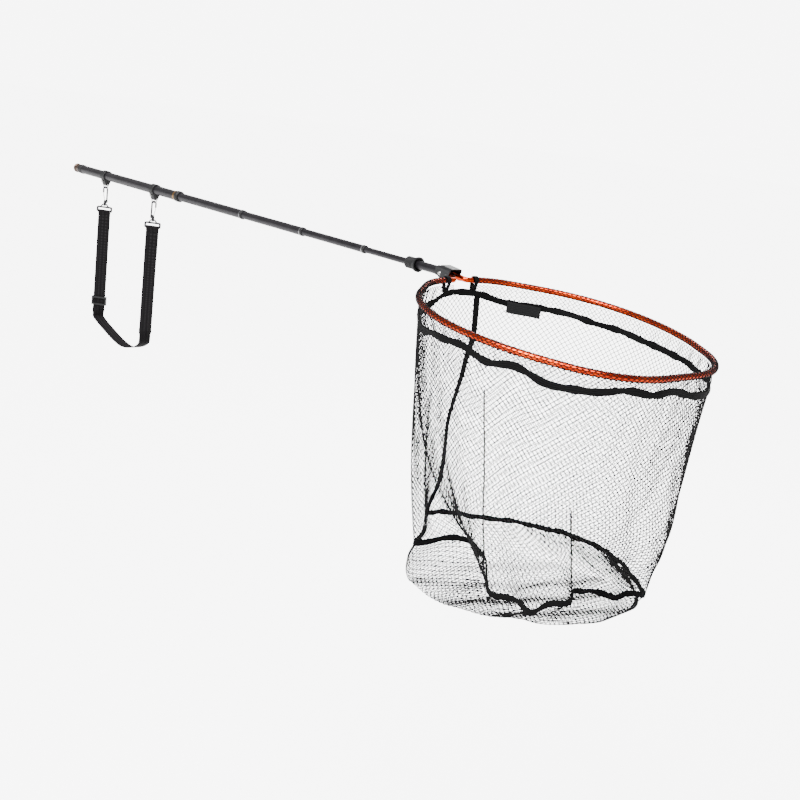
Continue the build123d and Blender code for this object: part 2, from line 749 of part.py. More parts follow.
def hook_gate(x, nose, label):
    """The sprung wire gate: a bowed wire with an eye round the pin in the hook's heel."""
    plane = upright(x)
    with BuildPart() as gate:
        with BuildLine(plane) as route:
            FilletPolyline(
                (nose * (pivot_u + 0.6), pivot_up + 1.6),
                (nose * 2.6, pivot_up + 10.0),
                (nose * 4.9, pivot_up + 17.0),
                (nose * 5.3, nose_z - 0.5),
                radius=[24.0, 20.0],
            )
        wire = route.wires()[0]
        with BuildSketch(Plane(origin=wire @ 0, z_dir=wire % 0)):
            Circle(GATE_WIRE / 2)
        sweep(path=wire)
        with BuildSketch(plane.offset(-GATE_WIRE / 2)):
            with Locations((nose * pivot_u, pivot_up)):
                Circle(2.1)
        extrude(amount=GATE_WIRE)
        with BuildSketch(plane.offset(-GATE_WIRE)):
            with Locations((nose * pivot_u, pivot_up)):
                Circle(0.8)
        extrude(amount=2 * GATE_WIRE, mode=Mode.SUBTRACT)
    finish(gate, label)


hook_gate(clamp_x[0], -1, "hook_gate_rear")
hook_gate(clamp_x[1], 1, "hook_gate_front")

bridge_top = hook_low - 4.0
loop_top = bridge_top - 7.5
loop_low = loop_top - LOOP_HEIGHT
loop_in = WEB_W + 1.2
bar_z = loop_low + LOOP_BAR / 2


def strap_loop(x, label):
    """The flat cast ring that carries the webbing, with the bridge that the hook's stud turns in."""
    plane = upright(x)
    with BuildPart() as ring:
        with BuildSketch(plane.offset(-LOOP_BAR / 2)):
            with BuildLine():
                Polyline(
                    (-6.0, bridge_top),
                    (6.0, bridge_top),
                    (13.5, loop_top - 1),
                    (-13.5, loop_top - 1),
                    close=True,
                )
            make_face()
            with BuildLine():
                Polyline(
                    (-4.6, bridge_top - 3.2),
                    (4.6, bridge_top - 3.2),
                    (8.8, loop_top),
                    (-8.8, loop_top),
                    close=True,
                )
            make_face(mode=Mode.SUBTRACT)
            with Locations((0, (loop_top + loop_low) / 2)):
                RectangleRounded(loop_in + 2 * LOOP_BAR, LOOP_HEIGHT, 4.5)
                RectangleRounded(loop_in, LOOP_HEIGHT - 2 * LOOP_BAR, 1.5, mode=Mode.SUBTRACT)
        extrude(amount=LOOP_BAR)
        with BuildSketch(Plane(origin=(x, 0, bridge_top), z_dir=(0, 0, -1))):
            Circle(4.4)
        extrude(amount=3.2)
        with BuildSketch(Plane(origin=(x, 0, bridge_top), z_dir=(0, 0, -1))):
            Circle(2.3)
        extrude(amount=3.2, mode=Mode.SUBTRACT)
    finish(ring, label)


strap_loop(clamp_x[0], "strap_loop_rear")
strap_loop(clamp_x[1], "strap_loop_front")

# tri-glide: two bars in front of the webbing, one behind, joined by the side rails
GLIDE_H = 27.0
RAIL_W = 3.4
RAIL_T = 9.6
BAR_H = 5.0
BAR_T = 2.6
rail_u = WEB_W / 2 + 0.5 + RAIL_W / 2
glide = upright(clamp_x[0])
with BuildPart() as adjuster:
    with BuildSketch(glide.offset(-RAIL_T / 2)):
        with Locations((-rail_u, ADJUSTER_Z), (rail_u, ADJUSTER_Z)):
            RectangleRounded(RAIL_W, GLIDE_H, 1.5)
    extrude(amount=RAIL_T)
    with BuildSketch(glide.offset(RAIL_T / 2 - BAR_T)):
        with Locations((0, ADJUSTER_Z + 10.5), (0, ADJUSTER_Z - 10.5)):
            Rectangle(2 * rail_u, BAR_H)
    extrude(amount=BAR_T)
    with BuildSketch(glide.offset(-RAIL_T / 2)):
        with Locations((0, ADJUSTER_Z)):
            Rectangle(2 * rail_u, BAR_H)
    extrude(amount=BAR_T)
finish(adjuster, "adjuster")

# the webbing: doubled from the rear ring to the tri-glide, then one layer with a quarter twist in
# each leg, so that it lies flat across the pole's plane in the hanging bight
twist_top = ADJUSTER_Z - 18.0
twist_low = twist_top - 22.0
sewn_low = bar_z - 75.0
half_spread = CLAMP_SPREAD / 2
bight = [
    (-half_spread, twist_low),
    (-half_spread, twist_low - 12),
    (STRAP_DIP - 30, STRAP_LOW),
    (STRAP_DIP + 30, STRAP_LOW),
    (half_spread, STRAP_LOW + 28),
    (half_spread, twist_low),
]
bight_radii = [14.0, 70.0, 70.0, 34.0]
fold_r = LOOP_BAR / 2 * 1.42 + CLEAR
with BuildPart() as strap_webbing:
    for x in clamp_x:
        with BuildSketch(Plane(origin=Vector(x, 0, bar_z) - u_dir * (WEB_W / 2), x_dir=(0, 0, 1), z_dir=u_dir)):
            Circle(fold_r + WEB_T)
            Circle(fold_r, mode=Mode.SUBTRACT)
        extrude(amount=WEB_W)
    for x, low, layers in (
        (clamp_x[0], ADJUSTER_Z - 14, 2.1),
        (clamp_x[0], twist_top, 1.0),
        (clamp_x[1], sewn_low, 2.1),
        (clamp_x[1], twist_top, 1.0),
    ):
        with BuildSketch(Plane.XY.offset(bar_z - fold_r - 0.2)):
            with Locations((x, 0)):
                Rectangle(WEB_W, WEB_T * layers, rotation=FACE_TURN)
        extrude(amount=-(bar_z - fold_r - 0.2 - low))
    for x in clamp_x:
        with BuildSketch(Plane.XY.offset(twist_top)):
            with Locations((x, 0)):
                Rectangle(WEB_W, WEB_T, rotation=FACE_TURN)
        with BuildSketch(Plane.XY.offset(twist_low)):
            with Locations((x, 0)):
                Rectangle(WEB_W, WEB_T, rotation=90)
        loft()
    with BuildLine(Plane.XZ) as bight_line:
        FilletPolyline(*bight, radius=bight_radii)
    with BuildSketch(Plane(origin=(-half_spread, 0, twist_low), x_dir=(0, 1, 0), z_dir=(0, 0, -1))):
        Rectangle(WEB_W, WEB_T)
    sweep(path=bight_line.wires()[0])
finish(strap_webbing, "strap_webbing")
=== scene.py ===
import json
import logging
from dataclasses import dataclass, field
from enum import Enum
from math import cos, hypot, pi, radians, sin, tau
from typing import Callable, Sequence

import bmesh
import bpy
import numpy as np
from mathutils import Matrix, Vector


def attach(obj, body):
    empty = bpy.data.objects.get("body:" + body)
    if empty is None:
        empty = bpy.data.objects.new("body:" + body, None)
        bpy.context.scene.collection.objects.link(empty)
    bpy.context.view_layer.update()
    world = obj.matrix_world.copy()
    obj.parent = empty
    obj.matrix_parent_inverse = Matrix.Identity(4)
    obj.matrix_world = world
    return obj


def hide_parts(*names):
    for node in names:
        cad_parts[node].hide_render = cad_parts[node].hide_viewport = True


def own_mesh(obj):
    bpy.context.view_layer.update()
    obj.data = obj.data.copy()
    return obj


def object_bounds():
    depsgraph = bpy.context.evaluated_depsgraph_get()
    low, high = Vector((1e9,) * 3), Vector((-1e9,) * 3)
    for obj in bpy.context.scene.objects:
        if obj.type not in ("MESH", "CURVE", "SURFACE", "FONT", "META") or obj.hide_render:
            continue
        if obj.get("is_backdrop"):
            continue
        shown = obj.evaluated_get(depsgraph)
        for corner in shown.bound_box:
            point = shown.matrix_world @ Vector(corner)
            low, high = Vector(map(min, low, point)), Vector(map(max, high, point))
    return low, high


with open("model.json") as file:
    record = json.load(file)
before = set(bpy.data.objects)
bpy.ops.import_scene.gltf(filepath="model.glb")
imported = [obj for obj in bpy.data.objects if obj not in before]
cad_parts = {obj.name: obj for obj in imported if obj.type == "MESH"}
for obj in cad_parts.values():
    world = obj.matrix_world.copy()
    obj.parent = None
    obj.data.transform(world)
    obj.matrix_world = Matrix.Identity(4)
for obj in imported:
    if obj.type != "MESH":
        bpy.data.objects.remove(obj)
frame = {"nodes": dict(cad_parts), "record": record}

log = logging.getLogger("landing_net")
MM = 0.001
CAD_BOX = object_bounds()
EDGE_POWER = 0.28  # how square a tape's edges are, from 0, a box, to 1, an oval
FACE_POWER = 0.55  # how flat its faces are
BAND_RATE = 3.18  # bands that a wave texture of scale 1 puts in a metre

# ------------------------------------------------------------------ places shared with the frame
PIVOT = Vector((1350, 0, -2)) * MM
DROOP = radians(5.8)
HEAD_X = Vector((cos(DROOP), 0, -sin(DROOP)))
HEAD_UP = Vector((sin(DROOP), 0, cos(DROOP)))
CROSS = Vector((0, 1, 0))


class Wave(Enum):
    """How a sewn tape wanders from its level."""

    UPPER = "upper"
    LOWER = "lower"


# ------------------------------------------------------------------ mesh helpers
def add_object(name: str, mesh: bpy.types.Mesh) -> bpy.types.Object:
    """Link a finished mesh into the scene as an object at the origin.

    Args:
        name: the piece's name.
        mesh: its mesh, in the row frame.

    Returns:
        The new object.
    """
    obj = bpy.data.objects.new(name, mesh)
    bpy.context.scene.collection.objects.link(obj)
    for poly in mesh.polygons:
        poly.use_smooth = True
    return obj


def lofted(
    name: str,
    across: int,
    along: int,
    place: Callable[[float, float], Vector],
    size: tuple[float, float],
    ring: bool = True,
    loop: bool = False,
) -> bpy.types.Object:
    """Wrap a grid round a section and along a run.

    Args:
        name: the piece's name.
        across: faces round the section.
        along: faces along the run.
        place: gives a point from the shares round and along, 0 to 1.
        size: metres round and along, for the UV map.
        ring: the section closes on itself.
        loop: the run closes on itself.

    Returns:
        The new object, closed at its ends.
    """
    bm = bmesh.new()
    bmesh.ops.create_grid(bm, x_segments=across, y_segments=along, size=1.0)
    weave = bm.loops.layers.uv.new("weave")
    for face in bm.faces:
        for corner in face.loops:
            x, y, _ = corner.vert.co
            corner[weave].uv = ((x + 1) / 2 * size[0], (y + 1) / 2 * size[1])
    for vert in bm.verts:
        u, v = (vert.co.x + 1) / 2, (vert.co.y + 1) / 2
        vert.co = place(u, v)
    if ring or loop:
        bmesh.ops.remove_doubles(bm, verts=bm.verts, dist=1e-6)
    if ring and not loop:
        rim = [e for e in bm.edges if e.is_boundary]
        bmesh.ops.holes_fill(bm, edges=rim, sides=0)
    bmesh.ops.recalc_face_normals(bm, faces=bm.faces)
    mesh = bpy.data.meshes.new(name)
    bm.to_mesh(mesh)
    bm.free()
    return add_object(name, mesh)


def strands(
    name: str,
    runs: Sequence[np.ndarray],
    radius: float,
    swell: float = 1.0,
    sides: int = 3,
) -> bpy.types.Object:
    """Lay thin twines along many runs of points and make them one mesh.

    Args:
        name: the piece's name.
        runs: one array of points for each twine.
        radius: the twine's radius in metres.
        swell: how much thicker every second point is, as at a knot.
        sides: faces round the twine.

    Returns:
        The new object.
    """
    section = bpy.data.curves.new(name + "_section", "CURVE")
    ring = section.splines.new("POLY")
    ring.points.add(sides - 1)
    for i, point in enumerate(ring.points):
        point.co = (radius * cos(tau * i / sides), radius * sin(tau * i / sides), 0, 1)
    ring.use_cyclic_u = True
    section_obj = bpy.data.objects.new(name + "_section", section)
    curve = bpy.data.curves.new(name + "_runs", "CURVE")
    curve.dimensions = "3D"
    curve.bevel_mode = "OBJECT"
    curve.bevel_object = section_obj
    for run in runs:
        spline = curve.splines.new("POLY")
        spline.points.add(len(run) - 1)
        flat = np.ones((len(run), 4))
        flat[:, :3] = run
        spline.points.foreach_set("co", flat.ravel())
        if swell != 1.0:
            thick = np.where(np.arange(len(run)) % 2 == 0, swell, 1.0)
            spline.points.foreach_set("radius", thick)
    runs_obj = bpy.data.objects.new(name + "_runs", curve)
    for obj in (section_obj, runs_obj):
        bpy.context.scene.collection.objects.link(obj)
    bpy.context.view_layer.update()
    ready = runs_obj.evaluated_get(bpy.context.evaluated_depsgraph_get())
    mesh = bpy.data.meshes.new_from_object(ready)
    for obj in (section_obj, runs_obj):
        bpy.data.objects.remove(obj)
    bpy.data.curves.remove(curve)
    bpy.data.curves.remove(section)
    mesh.name = name
    return add_object(name, mesh)


def joined(name: str, bm: bmesh.types.BMesh) -> bpy.types.Object:
    """Close a bmesh into a piece."""
    bmesh.ops.recalc_face_normals(bm, faces=bm.faces)
    mesh = bpy.data.meshes.new(name)
    bm.to_mesh(mesh)
    bm.free()
    return add_object(name, mesh)


def rounded_bar(
    width: float, thick: float, lobes: int = 0, depth: float = 0.0
) -> Callable[[float], tuple[float, float]]:
    """Make the section of a flat tape with soft edges.

    Args:
        width: across the tape.
        thick: through the tape.
        lobes: woven ridges across each face.
        depth: how far the ridges stand up.

    Returns:
        A function from the share round the section to a point (across, out).
    """

    def at(share: float) -> tuple[float, float]:
        angle = tau * share
        c, s = cos(angle), sin(angle)
        x = width / 2 * (abs(c) ** EDGE_POWER) * (1 if c > 0 else -1)
        y = thick / 2 * (abs(s) ** FACE_POWER) * (1 if s > 0 else -1)
        if lobes:
            y += (1 if s > 0 else -1) * depth * cos(tau * lobes * x / width) * abs(s)
        return x, y

    return at


# ------------------------------------------------------------------ finishes
class Nodes:
    """A short way to wire a material's nodes."""

    def __init__(self, name: str) -> None:
        """Start a material with an empty Principled shader."""
        self.material = bpy.data.materials.new(name)
        self.material.use_nodes = True
        self.tree = self.material.node_tree
        self.shader = self.tree.nodes["Principled BSDF"]
        self.place = self.add("ShaderNodeTexCoord")

    def add(self, kind: str, **values: object) -> bpy.types.Node:
        """Add a node and set its properties or its sockets by name."""
        node = self.tree.nodes.new(kind)
        for key, value in values.items():
            if hasattr(node, key):
                setattr(node, key, value)
            else:
                node.inputs[key.replace("_", " ")].default_value = value
        return node

    def link(self, source: bpy.types.NodeSocket, node: bpy.types.Node, socket: str | int) -> None:
        """Join a socket to a node's input."""
        self.tree.links.new(source, node.inputs[socket])

    def noise(
        self, scale: float, detail: float = 3.0, stretch: tuple[float, float, float] = (1, 1, 1)
    ) -> bpy.types.NodeSocket:
        """A noise value, in metres on the piece, drawn out along an axis by stretch."""
        mapping = self.add("ShaderNodeMapping")
        mapping.inputs["Scale"].default_value = stretch
        self.link(self.place.outputs["Object"], mapping, "Vector")
        noise = self.add("ShaderNodeTexNoise", Scale=scale, Detail=detail)
        self.link(mapping.outputs[0], noise, "Vector")
        return noise.outputs["Fac"]

    def wave(self, scale: float, axis: str, distortion: float) -> bpy.types.NodeSocket:
        """A band value across one axis of the piece's own UV map, in waves per metre times scale."""
        wave = self.add("ShaderNodeTexWave", bands_direction=axis, Scale=scale, Distortion=distortion)
        self.link(self.place.outputs["UV"], wave, "Vector")
        return wave.outputs["Fac"]

    def ramp(
        self, value: bpy.types.NodeSocket, low: float, high: float, first: Sequence[float], last: Sequence[float]
    ) -> bpy.types.NodeSocket:
        """Blend two colours as a value goes from low to high."""
        ramp = self.add("ShaderNodeValToRGB")
        ramp.color_ramp.elements[0].position = low
        ramp.color_ramp.elements[1].position = high
        ramp.color_ramp.elements[0].color = (*first, 1)
        ramp.color_ramp.elements[1].color = (*last, 1)
        self.link(value, ramp, "Fac")
        return ramp.outputs["Color"]

    def spread(self, value: bpy.types.NodeSocket, low: float, high: float) -> bpy.types.NodeSocket:
        """Spread a value of 0 to 1 between two numbers."""
        span = self.add("ShaderNodeMapRange", To_Min=low, To_Max=high)
        self.link(value, span, "Value")
        return span.outputs["Result"]

    def bump(
        self, height: bpy.types.NodeSocket, strength: float, distance: float, below: bpy.types.Node | None = None
    ) -> bpy.types.Node:
        """Turn a height into a bump, over another bump if one is given."""
        bump = self.add("ShaderNodeBump", Strength=strength, Distance=distance)
        self.link(height, bump, "Height")
        if below is not None:
            self.link(below.outputs["Normal"], bump, "Normal")
        return bump

    def done(self, bump: bpy.types.Node | None = None) -> bpy.types.Material:
        """Wire the bump and return the material."""
        if bump is not None:
            self.link(bump.outputs["Normal"], self.shader, "Normal")
        return self.material


@dataclass(frozen=True)
class Metal:
    """A drawn or turned metal with lathe lines, handling marks and small colour drift."""

    name: str
    light: tuple[float, float, float]
    dark: tuple[float, float, float]
    rough: tuple[float, float] = (0.25, 0.4)
    metallic: float = 1.0
    coat: float = 0.0
    line: tuple[float, float, float] = (6.0, 1.0, 1.0)

    def make(self) -> bpy.types.Material:
        """Wire the finish."""
        g = Nodes(self.name)
        drift = g.noise(28.0, 4.0)
        fine = g.noise(420.0, 2.0, stretch=self.line)
        g.link(g.ramp(drift, 0.3, 0.72, self.dark, self.light), g.shader, "Base Color")
        g.link(g.spread(fine, *self.rough), g.shader, "Roughness")
        g.shader.inputs["Metallic"].default_value = self.metallic
        g.shader.inputs["Coat Weight"].default_value = self.coat
        g.shader.inputs["Coat Roughness"].default_value = 0.12
        return g.done(g.bump(fine, 0.12, 0.0002))


@dataclass(frozen=True)
class Moulded:
    """Moulded nylon or powder coat: fine grain, worn a little lighter in patches."""

    name: str
    colour: tuple[float, float, float]
    worn: tuple[float, float, float]
    rough: tuple[float, float] = (0.42, 0.6)
    grain: float = 900.0
    depth: float = 0.00015

    def make(self) -> bpy.types.Material:
        """Wire the finish."""
        g = Nodes(self.name)
        patch = g.noise(60.0, 5.0)
        grain = g.noise(self.grain, 2.0)
        g.link(g.ramp(patch, 0.35, 0.8, self.colour, self.worn), g.shader, "Base Color")
        g.link(g.spread(grain, *self.rough), g.shader, "Roughness")
        g.shader.inputs["Specular IOR Level"].default_value = 0.3
        return g.done(g.bump(grain, 0.3, self.depth))


@dataclass(frozen=True)
class Twine:
    """Twisted nylon twine with a dull sheen."""

    name: str
    colour: tuple[float, float, float]
    pale: tuple[float, float, float]

    def make(self) -> bpy.types.Material:
        """Wire the finish."""
        g = Nodes(self.name)
        fibre = g.noise(1500.0, 2.0)
        patch = g.noise(14.0, 2.0)
        g.link(g.ramp(patch, 0.3, 0.75, self.colour, self.pale), g.shader, "Base Color")
        g.link(g.spread(fibre, 0.45, 0.8), g.shader, "Roughness")
        g.shader.inputs["Specular IOR Level"].default_value = 0.12
        return g.done(g.bump(fibre, 0.4, 0.0002))


@dataclass(frozen=True)
class Woven:
    """A woven tape: ribs across its run, threads along it, dusty fibre sheen."""

    name: str
    colour: tuple[float, float, float]
    pale: tuple[float, float, float]
    rib: float = 0.0016
    thread: float = 0.0011
    depth: float = 0.0003

    def make(self) -> bpy.types.Material:
        """Wire the finish."""
        g = Nodes(self.name)
        ribs = g.wave(1 / self.rib / BAND_RATE, "Y", 0.6)
        threads = g.wave(1 / self.thread / BAND_RATE, "X", 0.4)
        cross = g.add("ShaderNodeMath", operation="MULTIPLY")
        g.link(ribs, cross, 0)
        g.link(threads, cross, 1)
        fuzz = g.noise(700.0, 4.0)
        g.link(g.ramp(cross.outputs[0], 0.1, 0.9, self.colour, self.pale), g.shader, "Base Color")
        g.link(g.spread(fuzz, 0.62, 0.92), g.shader, "Roughness")
        g.shader.inputs["Specular IOR Level"].default_value = 0.08
        lower = g.bump(fuzz, 0.25, 0.0002)
        return g.done(g.bump(cross.outputs[0], 0.8, self.depth, lower))


@dataclass
class Finishes:
    """Every finish of the net, by the record's slot name."""

    made: dict[str, bpy.types.Material] = field(default_factory=dict)

    def build(self) -> None:
        """Make one material for each slot."""
        finishes: dict[str, Metal | Moulded | Twine | Woven] = {
            "pole_grey": Metal(
                "charcoal_anodised", (0.030, 0.027, 0.032), (0.017, 0.016, 0.019), (0.3, 0.44), 0.75
            ),
            "bronze_cap": Metal("bronze_anodised", (0.105, 0.068, 0.050), (0.06, 0.042, 0.032), (0.28, 0.4), 0.9),
            "copper_trim": Metal("copper_knurled", (0.46, 0.27, 0.10), (0.25, 0.13, 0.045), (0.22, 0.36)),
            "silver_trim": Metal("turned_trim", (0.42, 0.41, 0.42), (0.25, 0.25, 0.27), (0.2, 0.34)),
            "steel": Metal("bright_zinc", (0.62, 0.62, 0.6), (0.42, 0.42, 0.41), (0.18, 0.34)),
            "hoop_orange": Metal("orange_anodised", (0.84, 0.075, 0.003), (0.40, 0.015, 0.001), (0.14, 0.22)),
            "black_plastic": Moulded("black_nylon", (0.006, 0.006, 0.0065), (0.012, 0.0115, 0.0125)),
            "black_metal": Moulded(
                "black_powder_coat", (0.008, 0.008, 0.009), (0.015, 0.015, 0.017), (0.28, 0.42), 1400.0
            ),
            "netting": Twine("black_twine", (0.004, 0.004, 0.0045), (0.009, 0.0085, 0.0095)),
            "tape": Woven("black_binding", (0.002, 0.002, 0.0022), (0.006, 0.0057, 0.0066)),
            "webbing": Woven(
                "black_webbing", (0.004, 0.0035, 0.004), (0.014, 0.0125, 0.014), 0.0021, 0.0016, 0.0005
            ),
            "tag": Woven("plain_tag", (0.008, 0.008, 0.0085), (0.018, 0.018, 0.019), 0.0008, 0.0008, 0.0001),
        }
        for slot, finish in finishes.items():
            self.made[slot] = finish.make()

    def dress(self, obj: bpy.types.Object, slot: str) -> None:
        """Put a slot's finish on a piece."""
        obj.data.materials.clear()
        obj.data.materials.append(self.made[slot])

    def dress_frame(self) -> None:
        """Put each CAD node's finish on it."""
        for row in frame["record"]["subparts"]:
            self.dress(frame["nodes"][row["node"]], row["material_slot"])


def settle(obj: bpy.types.Object, body: str, slot: str, finishes: Finishes, *nodes: str) -> bpy.types.Object:
    """Ride a new piece on its body, dress it and let it stand for CAD nodes."""
    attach(obj, body)
    finishes.dress(obj, slot)
    if nodes:
        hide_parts(*nodes)
    log.info("%s: %d faces", obj.name, len(obj.data.polygons))
    return obj


# ------------------------------------------------------------------ the bag
@dataclass
class Outline:
    """The hoop's outline, ahead of the pin and across, as an even run of points."""

    bend: float = 46.0
    front: float = 601.0
    half_width: float = 262.0
    radii: tuple[float, ...] = (0.27, 0.46, 0.58, 0.33)
    arm: float = 15.0
    arm_radius: float = 8.0
    arm_start: float = 38.0

    def __post_init__(self) -> None:
        """Work out the corners and the rounded run."""
        run = self.front - self.bend
        half = [
            (self.bend + 0.012 * run, 0.336 * self.half_width),
            (self.bend + 0.261 * run, self.half_width),
            (self.bend + 0.643 * run, self.half_width),
            (self.front, 0.573 * self.half_width),
        ]
        bends = [r * run for r in self.radii]
        self.mid = (self.bend + self.front) / 2
        corners = half + [(x, -y) for x, y in reversed(half)]
        points = self._rounded(corners, bends + bends[::-1], True)
        start = next(i for i, (x, y) in enumerate(points) if y > 0)
        self.closed = self._even(points[start:] + points[:start] + [points[start]], 1200)
        first = int(np.argmin(np.hypot(self.closed[:, 0] - half[0][0] + 3, self.closed[:, 1])))
        self.closed = np.roll(self.closed[:-1], -first, axis=0)
        left = [(self.arm_start, self.arm), (self.bend, self.arm), *half]
        ends = [self.arm_radius, *bends]
        tube = self._rounded(left + [(x, -y) for x, y in reversed(left)], ends + ends[::-1], False)
        self.tube = self._even(tube, 1400)

    @staticmethod
    def _rounded(corners: list, bends: list, closed: bool) -> list:
        """Round a polyline's corners with arcs.

        Args:
            corners: the polyline's points.
            bends: a radius for each corner that is rounded.
            closed: the polyline closes on itself.

        Returns:
            Points along the runs and arcs.
        """
        count = len(corners)
        found: list = []
        turned = range(count) if closed else range(1, count - 1)
        if not closed:
            found.append(corners[0])
        for i, radius in zip(turned, bends):
            here = np.array(corners[i], float)
            back = np.array(corners[i - 1], float) - here
            on = np.array(corners[(i + 1) % count], float) - here
            back, on = back / np.linalg.norm(back), on / np.linalg.norm(on)
            half = np.arccos(np.clip(back @ on, -1, 1)) / 2
            reach = radius / np.tan(half)
            centre = here + (back + on) / np.linalg.norm(back + on) * radius / np.sin(half)
            first, last = here + back * reach - centre, here + on * reach - centre
            sweep = pi - 2 * half
            for k in range(25):
                share = k / 24
                arc = first * np.sin((1 - share) * sweep) + last * np.sin(share * sweep)
                found.append(tuple(centre + arc / np.sin(sweep)))
        if not closed:
            found.append(corners[-1])
        return found

    @staticmethod
    def _even(points: list, count: int) -> np.ndarray:
        """Place points evenly along a run."""
        run = np.array(points, float)
        far = np.concatenate([[0], np.cumsum(np.hypot(*np.diff(run, axis=0).T))])
        at = np.linspace(0, far[-1], count + 1)
        return np.stack([np.interp(at, far, run[:, 0]), np.interp(at, far, run[:, 1])], axis=1)

    def at(
        self, share: float | np.ndarray, scale_x: float = 1.0, scale_y: float = 1.0
    ) -> tuple[np.ndarray, np.ndarray]:
        """A point round the closed outline.

        Args:
            share: how far round, from the rear over the far side, 0 to 1.
            scale_x: size along the head against the hoop's.
            scale_y: size across.

        Returns:
            Forward of the pin and across, in millimetres.
        """
        count = len(self.closed)
        place = np.mod(share, 1.0) * count
        low = np.floor(place).astype(int) % count
        part = place - np.floor(place)
        a, b = self.closed[low], self.closed[(low + 1) % count]
        x = a[..., 0] + (b[..., 0] - a[..., 0]) * part
        y = a[..., 1] + (b[..., 1] - a[..., 1]) * part
        return self.mid + (x - self.mid) * scale_x, y * scale_y


